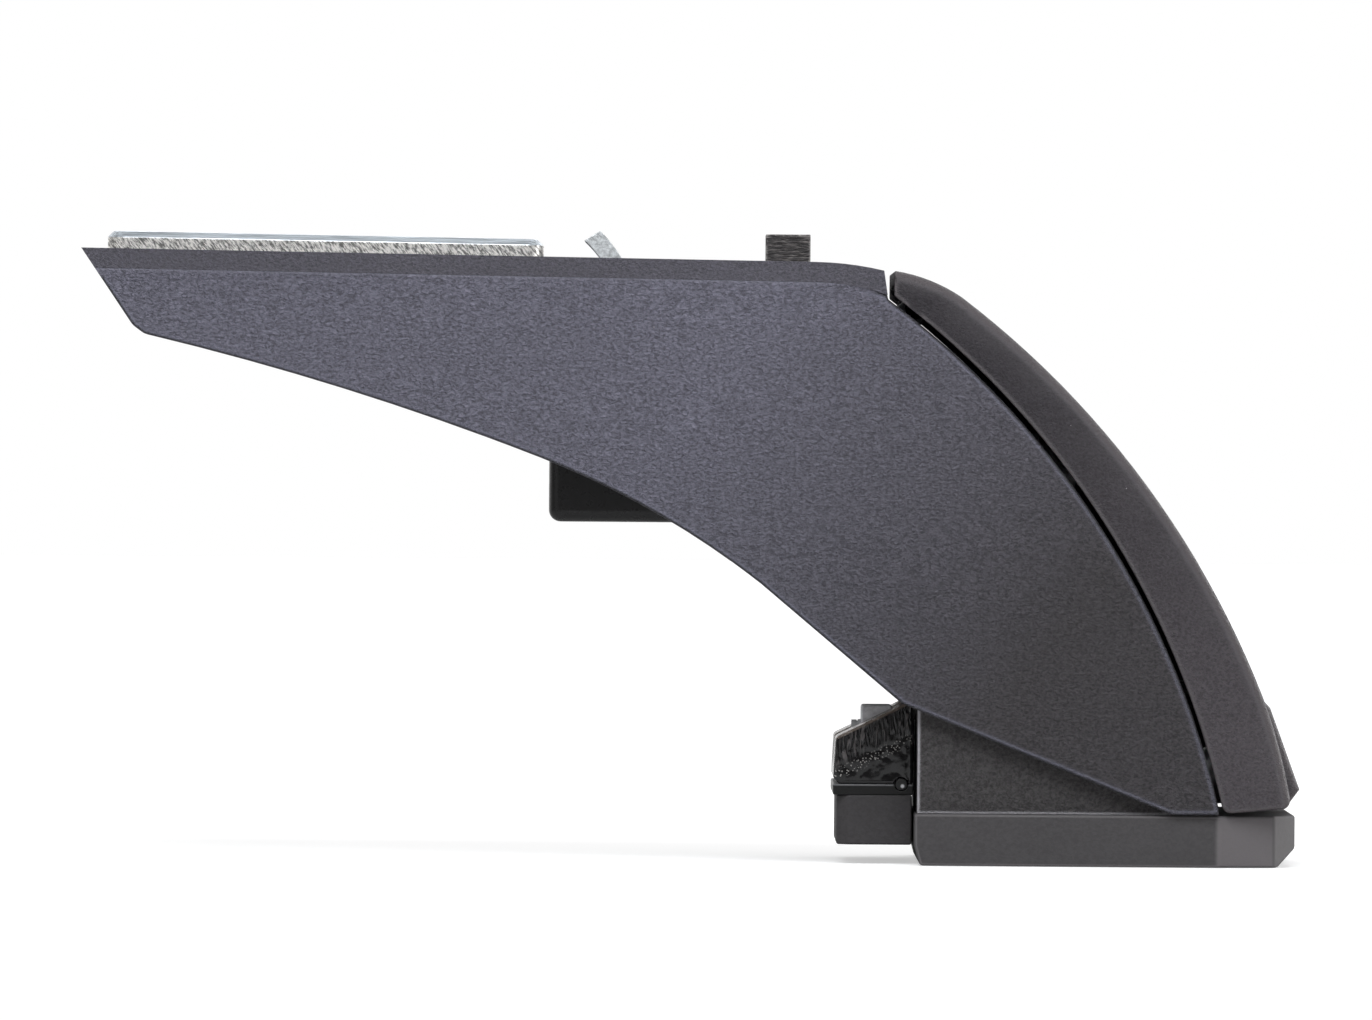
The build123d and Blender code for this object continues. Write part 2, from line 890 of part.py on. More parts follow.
def cam_screw():
    way = inward()
    head_at = cam_at + cam_thick
    head = rod(cam_screw_head_r, lock_point(head_at), way, cam_screw_head)
    shank = rod(cam_screw_r, lock_point(head_at - cam_screw_long), way, cam_screw_long)
    low = lock_point(head_at + cam_screw_head / 2)
    return head + shank - hexagon(cam_screw_r / 2, low, way, cam_screw_head)


def latch_keeper():
    """Steel keeper on the frame's web, with a lip in front of the turned cam."""
    on_web = frame_room(keeper_thick) - frame_room()
    shelf_top = keeper_low + keeper_thick
    band = pane(keeper_left, keeper_lip_x, keeper_low, keeper_high)
    shelf = pane(keeper_left, keeper_lip_x, keeper_low, shelf_top)
    lip = pane(keeper_lip_x - keeper_thick, keeper_lip_x, keeper_lip_z, shelf_top)
    return side((on_web & band) + ((shelf + lip) - frame_room()), keeper_half)


def t_slot_plate():
    """Steel plate that slides into the bar's channel, on two countersunk screws."""
    low = tee_rise - tee_thick
    u = tip_x + tee_in + tee_long / 2 - seat_x
    plate = Pos(u, 0, low + tee_thick / 2) * Box(tee_long, 2 * tee_half, tee_thick)
    plate = fillet(plate.edges().filter_by(Axis.Z), tee_corner)
    plate = chamfer(plate.faces().sort_by(Axis.Z)[-1].edges(), tee_chamfer)
    for x, y in tee_places():
        plate -= Pos(x, y, 0) * Cylinder(tee_screw_r + hole_gap, far)
        plate -= Pos(x, y, 0) * countersink(hole_gap)
    return on_seat(plate)


def countersink(gap):
    """Cone of a countersunk head, its face a little under the plate's."""
    deep = tee_head_r - tee_screw_r
    top = tee_rise - tee_head_sink
    hang = (Align.CENTER, Align.CENTER, Align.MAX)
    cone = Cone(tee_screw_r + gap, tee_head_r + gap, deep, align=hang)
    rim = rod(tee_head_r + gap, (0, 0, 0), (0, 0, 1), tee_head_sink)
    body = Pos(0, 0, top) * cone
    return body + Pos(0, 0, top) * rim if gap else body


def tee_bottom():
    """Where the screws end, measured down from the seat's rims."""
    return -(web_under + sheet + tee_nut_thick)


def t_plate_screws():
    screws = []
    top = tee_rise - tee_head_sink
    long = top - tee_bottom()
    hang = (Align.CENTER, Align.CENTER, Align.MAX)
    for x, y in tee_places():
        shank = Pos(0, 0, top) * Cylinder(tee_screw_r, long, align=hang)
        socket = hexagon(tee_hex, (0, 0, top - tee_hex_deep), (0, 0, 1), far)
        screws.append(on_seat(Pos(x, y, 0) * (countersink(0) + shank - socket)))
    return screws


def t_plate_spacers():
    """Steel bushes from the frame's web up to the T-slot plate."""
    bushes = []
    low = -web_under
    high = tee_rise - tee_thick
    for x, y in tee_places():
        bush = Cylinder(tee_spacer_r, high - low) - Cylinder(tee_screw_r + hole_gap, far)
        bushes.append(on_seat(Pos(x, y, (low + high) / 2) * bush))
    return bushes


def t_plate_nuts():
    """Hexagon nuts under the frame's web."""
    nuts = []
    top = -(web_under + sheet)
    for x, y in tee_places():
        nut = extrude(RegularPolygon(tee_nut_r, 6), amount=-tee_nut_thick)
        nut -= Cylinder(tee_screw_r + thread_gap, far)
        nuts.append(on_seat(Pos(x, y, top) * nut))
    return nuts


def block_mid():
    return (block_left + block_right) / 2


def block_seat():
    """Height of the frame's web under the guide block."""
    return rim_z(block_right, web_under)


def guide_block():
    """Plain steel block that stands on the frame's web and reaches into the bar's channel."""
    foot_z = rim_z(block_mid(), web_under)
    block = box(block_left, block_right, block_half, foot_z - sheet, block_top)
    block = chamfer(block.faces().sort_by(Axis.Z)[-1].edges(), block_chamfer)
    block -= side(frame_room(), far)
    return block - block_screw_hole(block_screw_r + thread_gap)


def block_screw_hole(radius):
    """Upright hole into the block from under the web."""
    return rod(radius, (block_mid(), 0, 0), (0, 0, 1), block_seat() + block_screw_grip + block_hole_spare)


def guide_screw():
    """Screw up through the frame's web into the guide block."""
    seat = rim_z(block_mid() + block_screw_head_r, web_under + sheet)
    head = rod(block_screw_head_r, (block_mid(), 0, seat), (0, 0, -1), block_screw_head)
    shank = rod(block_screw_r, (block_mid(), 0, seat), (0, 0, 1), sheet + block_screw_grip)
    low = (block_mid(), 0, seat - block_screw_head / 2)
    return head + shank - hexagon(block_screw_r / 2, low, (0, 0, -1), far)


def pivot_pin():
    """Pin that the claw lever turns on, grooved at both ends for its clips."""
    pin = cross_rod(pivot_r, pivot_x, pivot_z, frame_half + pin_out)
    return pin - clip_rings(pivot_r - clip_out, far, 0)


def clip_rings(inner, outer, gap):
    rings = []
    for hand in (-1, 1):
        start = (pivot_x, hand * (frame_half + gap), pivot_z)
        ring = rod(outer, start, (0, hand, 0), clip_thick) - rod(inner, start, (0, hand, 0), clip_thick)
        rings.append(ring)
    return Part() + rings


def pivot_clips():
    """Clips in the pivot pin's grooves, open on one side."""
    rings = clip_rings(pivot_r - clip_out, clip_r, 0)
    rings -= box(pivot_x - pivot_r / 2, pivot_x + pivot_r / 2, far, 0, pivot_z)
    return list(rings.solids())


def claw_strip():
    """Side view of the lever's bent upper end, which leans inboard over the saddle."""
    return outline(
        SagittaArc((claw_tip_x, claw_tip_z), (claw_root_x, claw_root_z), claw_sag),
        Line((claw_root_x, claw_root_z), (claw_heel_x, claw_heel_z)),
        SagittaArc((claw_heel_x, claw_heel_z), (claw_back_x, claw_back_z), -claw_sag),
        Line((claw_back_x, claw_back_z), (claw_tip_x, claw_tip_z)),
    )


def claw_lever():
    """Steel lever: two cheeks on the pivot pin, a fork for the nut and the claw above."""
    rings = Curve() + [
        CenterArc((pivot_x, pivot_z), lever_eye_r, 0, 360),
        CenterArc((pivot_x, pitch_line), lever_fork_r, 0, 360),
    ]
    cheeks = side(make_hull(rings.edges()), lever_half)
    cheeks -= box(-far, far, lever_half - lever_sheet, 0, claw_heel_z)
    lever = cheeks + side(claw_strip(), lever_half)
    lever -= cross_rod(pivot_r + running, pivot_x, pivot_z, far)
    for up in (-trunnion_slack, trunnion_slack):
        lever -= cross_rod(trunnion_r + hole_gap, pivot_x, pitch_line + up, far)
    return lever


def upper_nut():
    """Barrel nut with two trunnions in the lever's fork."""
    inner = lever_half - lever_sheet - hole_gap
    nut = cross_rod(upper_nut_r, pivot_x, pitch_line, inner)
    nut += cross_rod(trunnion_r, pivot_x, pitch_line, lever_half)
    return nut - rod(upper_r + thread_gap, (upper_end, 0, pitch_line), outboard, far)


def housing_box(shrink):
    """The lever housing's block, or the room in it."""
    z1 = far if shrink else housing_high
    half = frame_half - sheet - housing_gap - shrink
    block = box(housing_left + shrink, housing_right - shrink, half, housing_low + shrink, z1)
    corners = block.edges().filter_by(Axis.Z) + block.faces().sort_by(Axis.Z)[0].edges()
    return fillet(corners, housing_round - shrink / 2)


def lever_housing():
    """Plastic box round the lever's foot and the upper screw's end, open above."""
    housing = housing_box(0) - housing_box(housing_wall)
    housing -= rod(upper_r + bore_gap, (pivot_x, 0, pitch_line), outboard, far)
    for x, z in housing_screw_places:
        housing -= cross_rod(housing_screw_r + thread_gap, x, z, far)
    return housing


def housing_screws():
    """Screws through the frame's flanges into the housing's walls."""
    screws = []
    for x, z in housing_screw_places:
        for hand in (-1, 1):
            start = (x, hand * frame_half, z)
            head = rod(housing_screw_head_r, start, (0, hand, 0), housing_screw_head)
            shank = rod(housing_screw_r, start, (0, -hand, 0), housing_screw_grip)
            low = (x, hand * (frame_half + housing_screw_head / 2), z)
            screws.append(head + shank - rod(housing_screw_r / 2, low, (0, hand, 0), far))
    return screws


def web_seat(radius, back, face_x, z, hole):
    """Bush on the sloping web that gives a screw's head an upright face."""
    bush = rod(radius, (face_x - back, 0, z), outboard, back) - side(frame_room(), far)
    return bush - rod(hole, (face_x - far, 0, z), outboard, 2 * far)


def upper_seat():
    return web_seat(upper_seat_r, upper_seat_back, upper_seat_x, pitch_line, upper_r + bore_gap)


def lower_seat():
    return web_seat(lower_seat_r, lower_seat_back, lower_seat_x, lower_z, lower_r + bore_gap)


def socket_screw(shank, head, socket, z):
    """Screw along the foot, its socket head outboard: radius and inner end of each, face of the head."""
    radius, end = shank
    head_r, seat, face = head
    hex_r, hex_deep = socket
    screw = rod(head_r, (seat, 0, z), outboard, face - seat)
    screw += rod(radius, (end, 0, z), outboard, seat - end)
    return screw - hexagon(hex_r, (face - hex_deep, 0, z), outboard, far)


def upper_screw():
    seat = upper_seat_x + face_gap
    head = (upper_head_r, seat, seat + upper_head)
    return socket_screw((upper_r, upper_end), head, (upper_hex, upper_hex_deep), pitch_line)


def lower_screw():
    seat = lower_seat_x + face_gap
    head = (lower_head_r, seat, seat + lower_head)
    return socket_screw((lower_r, lower_end), head, (lower_hex, lower_hex_deep), lower_z)


def clamp_jaw():
    """Cast jaw with a sloping top, a channel for the screw and a pocket for the nut."""
    face = outline(Polyline(
        (jaw_left, jaw_low + jaw_foot_run), (jaw_left + jaw_foot_run, jaw_low), (jaw_right, jaw_low),
        (jaw_right, jaw_top_z), (jaw_top_x, jaw_top_z), (jaw_shoulder_x, jaw_shoulder_z),
        (jaw_left, jaw_low + jaw_foot_run),
    ))
    jaw = side(face, jaw_half)
    jaw = fillet(jaw.faces().filter_by(Axis.Y).edges(), jaw_round)
    jaw -= rod(lower_r + bore_gap, (-far, 0, lower_z), outboard, 2 * far)
    jaw -= box(-far, far, lower_r + bore_gap, lower_z, far)
    jaw -= box(nut_left - nut_gap, nut_right + nut_gap, nut_half + nut_gap, 0, far)
    return jaw - cross_rod(dowel_r + thread_gap, dowel_x, jaw_low, far)


def jaw_nut():
    """Square nut in the jaw's pocket."""
    nut = box(nut_left, nut_right, nut_half, lower_z - nut_half, lower_z + nut_half)
    return nut - rod(lower_r + thread_gap, (-far, 0, lower_z), outboard, 2 * far)


def jaw_plate():
    """Thin steel plate under the jaw that closes the nut's pocket."""
    low = jaw_low - jaw_plate_thick
    plate = box(jaw_left, jaw_right, jaw_half - jaw_plate_inset, low, jaw_low)
    return plate - cross_rod(dowel_r + thread_gap, dowel_x, jaw_low, far)


def inner_pad():
    """Small rubber pad under the jaw, clear of the ground that the main pad stands on."""
    right = pad_left - inner_pad_gap
    pad = box(inner_pad_left, right, jaw_half, inner_pad_low, jaw_low - jaw_plate_thick)
    return chamfer(pad.edges().filter_by(Axis.Z).sort_by(Axis.X)[:2], inner_pad_chamfer)


def jaw_dowel():
    return cross_rod(dowel_r, dowel_x, jaw_low, jaw_half)


NODES = {
    "arm_shell": arm_shell,
    "saddle_pad": saddle_pad,
    "shell_screws": shell_screws,
    "steel_frame": steel_frame,
    "foot_screws": foot_screws,
    "base_plate": base_plate,
    "base_shoe": base_shoe,
    "main_pad": main_pad,
    "frame_spacers": spacers,
    "frame_rivets": frame_rivets,
    "hinge_pin": hinge_pin,
    "front_cover": front_cover,
    "lock_sleeve": lock_sleeve,
    "lock_core": lock_core,
    "lock_cam": lock_cam,
    "cam_screw": cam_screw,
    "latch_keeper": latch_keeper,
    "t_slot_plate": t_slot_plate,
    "t_plate_screws": t_plate_screws,
    "t_plate_spacers": t_plate_spacers,
    "t_plate_nuts": t_plate_nuts,
    "guide_block": guide_block,
    "guide_screw": guide_screw,
    "pivot_pin": pivot_pin,
    "pivot_clips": pivot_clips,
    "claw_lever": claw_lever,
    "upper_nut": upper_nut,
    "lever_housing": lever_housing,
    "housing_screws": housing_screws,
    "upper_screw_seat": upper_seat,
    "lower_screw_seat": lower_seat,
    "upper_screw": upper_screw,
    "lower_screw": lower_screw,
    "clamp_jaw": clamp_jaw,
    "jaw_nut": jaw_nut,
    "jaw_plate": jaw_plate,
    "inner_pad": inner_pad,
    "jaw_dowel": jaw_dowel,
}

os.makedirs("parts", exist_ok=True)
for name, make in NODES.items():
    made = make()
    group = made if isinstance(made, list) else [made]
    export_step(Compound(children=group), f"parts/{name}.step")
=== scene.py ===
from math import atan2, copysign, cos, radians, sin

import bmesh
import bpy
from mathutils import Matrix, Vector


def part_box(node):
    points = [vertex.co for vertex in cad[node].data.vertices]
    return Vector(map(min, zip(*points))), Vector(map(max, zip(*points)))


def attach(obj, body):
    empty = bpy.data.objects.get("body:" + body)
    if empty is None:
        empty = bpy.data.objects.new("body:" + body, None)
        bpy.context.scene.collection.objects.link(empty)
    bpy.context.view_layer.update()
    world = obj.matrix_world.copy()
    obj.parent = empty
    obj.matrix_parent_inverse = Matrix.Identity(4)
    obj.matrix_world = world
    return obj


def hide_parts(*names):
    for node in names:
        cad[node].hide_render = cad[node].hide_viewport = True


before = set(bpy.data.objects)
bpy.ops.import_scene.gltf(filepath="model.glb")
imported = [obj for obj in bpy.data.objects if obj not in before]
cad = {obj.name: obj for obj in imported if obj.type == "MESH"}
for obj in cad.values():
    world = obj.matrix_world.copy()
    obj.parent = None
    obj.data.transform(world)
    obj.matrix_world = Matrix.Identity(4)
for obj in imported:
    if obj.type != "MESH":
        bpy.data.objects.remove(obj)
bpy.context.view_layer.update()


# ---------------------------------------------------------------------- studio
# The camera stands 2.6 metres from the near flank, a little above the middle of the arm,
# and is turned by the photo's slight roll. The background and the lit floor are white to the
# camera, and the floor keeps the foot's shadow.
camera = bpy.data.objects.new("camera", bpy.data.cameras.new("camera"))
bpy.context.collection.objects.link(camera)
camera.location = (-0.0697, -2.634, 0.072)
camera_roll = Matrix.Rotation(radians(90), 3, "X") @ Matrix.Rotation(radians(0.43), 3, "Z")
camera.rotation_euler = camera_roll.to_euler()
camera.data.sensor_width = 36.0
camera.data.lens = 410.7
camera.data.shift_x = -0.0029
camera.data.shift_y = -0.058
camera.data.clip_start = 0.05
bpy.context.scene.camera = camera
bpy.context.scene.view_settings.view_transform = "Standard"


def blank(name):
    """A new finish with nothing in it but its shader."""
    finish = bpy.data.materials.new(name)
    finish.use_nodes = True
    return finish


def shader_of(finish):
    """The shader that everything in a finish leads to."""
    return finish.node_tree.nodes["Principled BSDF"]


def place_in(finish):
    """Where a point lies in the frame that all pieces share."""
    return finish.node_tree.nodes.new("ShaderNodeTexCoord").outputs["Object"]


def wired(tree, kind, *values, **parts):
    """Adds a node to a tree: values fill its sockets in order, parts go in by name."""
    node = tree.nodes.new(kind)
    sockets = list(zip(node.inputs, values))
    for part, value in parts.items():
        if hasattr(node, part):
            setattr(node, part, value)
        else:
            sockets.append((node.inputs[part.replace("_", " ")], value))
    for socket, value in sockets:
        if isinstance(value, bpy.types.NodeSocket):
            tree.links.new(value, socket)
        else:
            socket.default_value = value
    return node.outputs[0]


def into(finish, kind, *values, **parts):
    """Adds a shader node to a finish or to the world, and gives its first output."""
    return wired(finish.node_tree, "ShaderNode" + kind, *values, **parts)


def ramp(finish, value, start, end, first=0.0, last=1.0):
    """Goes from first to last while a value goes from start to end, and stays level beyond."""
    return into(finish, "MapRange", value, start, end, first, last)


def times(finish, value, factor):
    """The product of two values."""
    return into(finish, "Math", value, factor, operation="MULTIPLY")


def measured(finish, operation, *vectors):
    """The one number that a vector node gives, a dot product or a length."""
    node = into(finish, "VectorMath", *vectors, operation=operation).node
    return [socket for socket in node.outputs if socket.name == "Value"][0]


def feed(finish, part, socket):
    """Leads a socket to one part of a finish's shader."""
    finish.node_tree.links.new(socket, shader_of(finish).inputs[part])


def softbox(name, place, aim, width, height, watts, colour=(1.0, 1.0, 1.0)):
    """A rectangular soft light at place, turned to aim."""
    lamp = bpy.data.objects.new(name, bpy.data.lights.new(name, "AREA"))
    lamp.data.shape = "RECTANGLE"
    lamp.data.size, lamp.data.size_y = width, height
    lamp.data.energy = watts
    lamp.data.color = colour
    lamp.location = place
    lamp.rotation_euler = (Vector(aim) - Vector(place)).to_track_quat("-Z", "Y").to_euler()
    bpy.context.collection.objects.link(lamp)


softbox("softbox_over_arm", (-0.055, -0.30, 0.38), aim=(-0.055, 0.0, 0.08),
        width=0.36, height=0.26, watts=2.05, colour=(0.96, 0.98, 1.0))
softbox("softbox_left", (-0.85, -0.75, 0.35), aim=(-0.06, 0.0, 0.06),
        width=0.5, height=0.6, watts=1.05)
softbox("softbox_behind", (-0.1, 0.75, 0.6), aim=(-0.05, 0.0, 0.06),
        width=0.7, height=0.5, watts=2.4)
softbox("softbox_right_rim", (0.62, 0.55, 0.22), aim=(0.02, 0.0, 0.04),
        width=0.4, height=0.4, watts=3.2)
softbox("softbox_right", (0.9, -0.05, 0.14), aim=(0.02, 0.0, 0.04),
        width=0.35, height=0.35, watts=3.6)

floor_form = bmesh.new()
bmesh.ops.create_grid(floor_form, x_segments=1, y_segments=1, size=6.0)
floor = bpy.data.objects.new("floor", bpy.data.meshes.new("floor"))
floor_form.to_mesh(floor.data)
floor_form.free()
floor_drop = 0.0001
floor.data.transform(Matrix.Translation((0.0, 0.0, -floor_drop)))
bpy.context.collection.objects.link(floor)
paper = blank("studio_paper")
paper_shader = shader_of(paper)
paper_shader.inputs["Base Color"].default_value = (0.7, 0.7, 0.7, 1.0)
paper_shader.inputs["Roughness"].default_value = 0.9
paper_shader.inputs["Specular IOR Level"].default_value = 0.1
paper_shader.inputs["Emission Color"].default_value = (1.0, 1.0, 1.0, 1.0)
paper_ray = paper.node_tree.nodes.new("ShaderNodeLightPath").outputs
paper_place = place_in(paper)
paper_side = into(paper, "SeparateXYZ", paper_place).node.outputs["Y"]
paper_back = ramp(paper, paper_side, 0.0, 0.4)
paper_shine = times(paper, paper_ray["Is Glossy Ray"], paper_back)
paper_seen = into(paper, "Math", paper_ray["Is Camera Ray"], paper_shine, operation="MAXIMUM")
paper_seen = into(paper, "Math", paper_seen, paper_ray["Is Transmission Ray"], operation="MAXIMUM")
paper_far = measured(paper, "LENGTH", paper_place)
paper_lift = ramp(paper, paper_far, 0.25, 1.4, first=0.5, last=0.95)
paper_lift = times(paper, paper_lift, paper_seen)
feed(paper, "Emission Strength", paper_lift)
floor.data.materials.append(paper)

world = bpy.data.worlds.new("studio")
world.use_nodes = True
bpy.context.scene.world = world
sky = world.node_tree.nodes["Background"]
sky.inputs["Color"].default_value = (1.0, 1.0, 1.0, 1.0)
sky_ray = world.node_tree.nodes.new("ShaderNodeLightPath").outputs
sky_place = world.node_tree.nodes.new("ShaderNodeTexCoord").outputs["Generated"]
sky_side = into(world, "SeparateXYZ", sky_place).node.outputs["Y"]
sky_back = ramp(world, sky_side, -0.1, 0.6, first=0.1)
sky_soft = into(world, "MixRGB", sky_ray["Is Glossy Ray"], (0.32, 0.32, 0.32, 1.0), sky_back)
sky_seen = into(world, "Math", sky_ray["Is Camera Ray"], sky_ray["Is Transmission Ray"],
                operation="MAXIMUM")
sky_level = into(world, "MixRGB", sky_seen, sky_soft, (1.0, 1.0, 1.0, 1.0))
world.node_tree.links.new(sky_level, sky.inputs["Strength"])


# ------------------------------------------------------------------- arm shell
# The long arm is one hollow moulding of dark blue-grey plastic, open below, with a leather-like
# grain off the tool's wall and a small radius all round the flanks. Four screws hold it to the
# steel frame inside.
def base_of(finish):
    """What a finish's base colour comes from so far."""
    return shader_of(finish).inputs["Base Color"].links[0].from_socket


def facing(finish):
    """The direction that a face looks in, before any relief."""
    return finish.node_tree.nodes.new("ShaderNodeNewGeometry").outputs["Normal"]


def dressed(node, body, finish, edge=0.0003, rings=2, sharp=28.0, near=None, reshape=None):
    """A CAD node's copy as its finished piece: doubles merged, smooth, its sharp edges rounded."""
    doubles_within, flat_within = 4e-6, radians(0.05)
    form = bmesh.new()
    form.from_mesh(cad[node].data)
    bmesh.ops.remove_doubles(form, verts=form.verts, dist=doubles_within)
    bmesh.ops.dissolve_limit(form, angle_limit=flat_within, verts=form.verts, edges=form.edges)
    if reshape:
        reshape(form)
    form.verts.index_update()
    mesh = bpy.data.meshes.new(node + "_finished")
    corners = [v.co[:] for v in form.verts]
    mesh.from_pydata(corners, [], [[v.index for v in f.verts] for f in form.faces])
    form.free()
    mesh.shade_smooth()
    mesh.set_sharp_from_angle(angle=radians(sharp))
    form = bmesh.new()
    form.from_mesh(mesh)
    weight = form.edges.layers.float.new("bevel_weight_edge")
    for rim in form.edges:
        if rim.is_manifold and rim.calc_face_angle(0.0) > radians(sharp):
            if near is None or all(near(v.co) for v in rim.verts):
                rim[weight] = 1.0
    form.to_mesh(mesh)
    form.free()
    piece = bpy.data.objects.new(node + "_finished", mesh)
    bpy.context.collection.objects.link(piece)
    if edge:
        rounding = piece.modifiers.new("edge rounding", "BEVEL")
        rounding.limit_method = "WEIGHT"
        rounding.width = edge
        rounding.segments = rings
        rounding.use_clamp_overlap = False
        rounding.harden_normals = True
        ready = piece.evaluated_get(bpy.context.evaluated_depsgraph_get())
        piece.data = bpy.data.meshes.new_from_object(ready)
        piece.modifiers.clear()
    piece.data.materials.clear()
    piece.data.materials.append(finish)
    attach(piece, body)
    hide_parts(node)


in_mm = 1000.0


def moulded(name, colour, rough, grain, depth, tone, gloss, specks=0.0, tone_slope=None):
    """A moulded plastic or rubber, with grain of that width and height in mm, clouds and specks."""
    finish = blank(name)
    place = place_in(finish)
    wide, high = in_mm / grain[0], in_mm / grain[1]
    drawn = into(finish, "Mapping", place, Scale=(wide, wide, high))
    pebble = into(finish, "TexNoise", Vector=drawn, Scale=1.0, Detail=3.0, Roughness=0.6,
                  Distortion=0.6)
    cloud = into(finish, "TexNoise", Vector=place, Scale=28.0, Detail=3.0)
    tint = ramp(finish, pebble, 0.36, 0.64, first=1.0 - tone, last=1.0 + tone)
    cloudy = ramp(finish, cloud, 0.3, 0.7, first=0.95, last=1.05)
    tint = times(finish, tint, cloudy)
    base = (*colour, 1.0)
    # an optional colour slope: along a direction, the colour moves from the plain one to a second
    # one
    if tone_slope:
        direction, start, end, slope_colour = tone_slope
        run = measured(finish, "DOT_PRODUCT", place, direction)
        share = ramp(finish, run, start, end)
        base = into(finish, "MixRGB", share, base, (*slope_colour, 1.0))
    base = into(finish, "MixRGB", 1.0, base, tint, blend_type="MULTIPLY")
    if specks:
        dust = into(finish, "TexVoronoi", Vector=place, Scale=330.0)
        kept = dust.node.outputs["Color"]
        kept = into(finish, "Math", kept, 1.0 - specks, operation="GREATER_THAN")
        dot = into(finish, "Math", dust, 0.035, operation="LESS_THAN")
        dot = times(finish, dot, kept)
        base = into(finish, "MixRGB", dot, base, (0.32, 0.31, 0.31, 1.0))
    feed(finish, "Base Color", base)
    dull = ramp(finish, pebble, 0.3, 0.7, first=rough + 0.06, last=rough - 0.06)
    feed(finish, "Roughness", dull)
    shader_of(finish).inputs["Specular IOR Level"].default_value = gloss
    relief = into(finish, "Bump", Strength=1.0, Distance=depth, Height=pebble)
    feed(finish, "Normal", relief)
    return finish


def painted_rim_lines(finish, radius, light, dark):
    """Painted highlight and painted shade at a flank's rim: the light colour where its radius
    starts, the dark colour where it turns away, standing in for how the rounding catches the light.
    """
    under = base_of(finish)
    soft = into(finish, "Bevel", radius, samples=8)
    turn = into(finish, "SeparateXYZ", soft).node.outputs["Y"]
    turn = into(finish, "Math", turn, operation="ABSOLUTE")
    flat = facing(finish)
    flat = into(finish, "SeparateXYZ", flat).node.outputs["Y"]
    flat = into(finish, "Math", flat, operation="ABSOLUTE")
    flank = ramp(finish, flat, 0.3, 0.5)
    start = ramp(finish, turn, 0.999, 0.985, last=0.85)
    end = ramp(finish, turn, 0.965, 0.925)
    start = times(finish, start, flank)
    end = times(finish, end, flank)
    shade = into(finish, "MixRGB", start, under, (*light, 1.0))
    shade = into(finish, "MixRGB", end, shade, (*dark, 1.0))
    feed(finish, "Base Color", shade)


def across(finish, place, direction, finer):
    """How far a point lies along a direction, times finer: one coordinate of a slanting pattern."""
    run = measured(finish, "DOT_PRODUCT", place, direction)
    return times(finish, run, finer)


# painted shade: the arm's colour runs darker towards its lower right end, standing in for the
# fall-off of the lamp over the arm
shell_grain = moulded("shell_grain", (0.112, 0.109, 0.142), 0.55, grain=(0.62, 0.42), depth=0.0009,
                      tone=0.4, gloss=0.4, specks=0.12,
                      tone_slope=((0.8, 0.0, -0.6), -0.100, -0.030, (0.040, 0.036, 0.040)))
shell_plain = base_of(shell_grain)
# painted highlight and painted shade along the arm's rims: a light bluish line where the radius
# starts, a dark line where it turns away
painted_rim_lines(shell_grain, radius=0.0014, light=(0.19, 0.19, 0.25), dark=(0.012, 0.011, 0.013))
shell_lined = base_of(shell_grain)
shell_place = place_in(shell_grain)
arm_tilt = radians(0.7)
square_to_arm = (sin(arm_tilt), 0.0, cos(arm_tilt))
# the saddle begins at 96.16 on this scale, in mm, and a painted highlight line runs along the shell
# under it, where its top edge would catch the light
shell_level = across(shell_grain, shell_place, square_to_arm, in_mm)
shell_painted_highlight = ramp(shell_grain, shell_level, 95.7, 96.05, last=0.45)
shell_top_highlighted = into(shell_grain, "MixRGB", shell_painted_highlight, shell_plain, (0.19, 0.19, 0.235, 1.0))
shell_top_here = ramp(shell_grain, shell_level, 94.6, 94.8)
shell_base = into(shell_grain, "MixRGB", shell_top_here, shell_lined, shell_top_highlighted)
feed(shell_grain, "Base Color", shell_base)


def rim_under_saddle(place):
    """Whether a corner lies on a flank's rim and below the saddle, where the edge is rounded."""
    rim_from, saddle_slope, saddle_foot = 0.0305, 0.0122, 0.0955
    return abs(place.y) > rim_from and place.z + saddle_slope * place.x < saddle_foot


dressed("arm_shell", "foot", shell_grain, edge=0.00028, rings=3,
        near=rim_under_saddle)


def zinc_plated(name, colour, rough, metal=0.9, streak=(120.0, 2600.0, 2600.0), depth=0.00001,
                tone=0.12):
    """Bright zinc on steel: drawn streaks, a cloudy passivated film and a few dull spots."""
    finish = blank(name)
    place = place_in(finish)
    drawn = into(finish, "Mapping", place, Scale=streak)
    line = into(finish, "TexNoise", Vector=drawn, Scale=1.0, Detail=4.0, Roughness=0.6)
    film = into(finish, "TexNoise", Vector=place, Scale=260.0, Detail=3.0)
    tint = ramp(finish, line, 0.3, 0.7, first=1.0 - tone, last=1.0 + tone)
    dulled = ramp(finish, film, 0.35, 0.7, first=1.04, last=0.82)
    tint = times(finish, tint, dulled)
    base = into(finish, "MixRGB", 1.0, (*colour, 1.0), tint, blend_type="MULTIPLY")
    feed(finish, "Base Color", base)
    shader_of(finish).inputs["Metallic"].default_value = metal
    dull = ramp(finish, film, 0.3, 0.7, first=rough - 0.07, last=rough + 0.12)
    feed(finish, "Roughness", dull)
    relief = into(finish, "Bump", Strength=1.0, Distance=depth, Height=line)
    feed(finish, "Normal", relief)
    return finish


fastener_zinc = zinc_plated("fastener_zinc", (0.66, 0.67, 0.69), rough=0.27,
                            streak=(1500.0, 1500.0, 1500.0))
dressed("shell_screws", "foot", fastener_zinc, edge=0.0002)


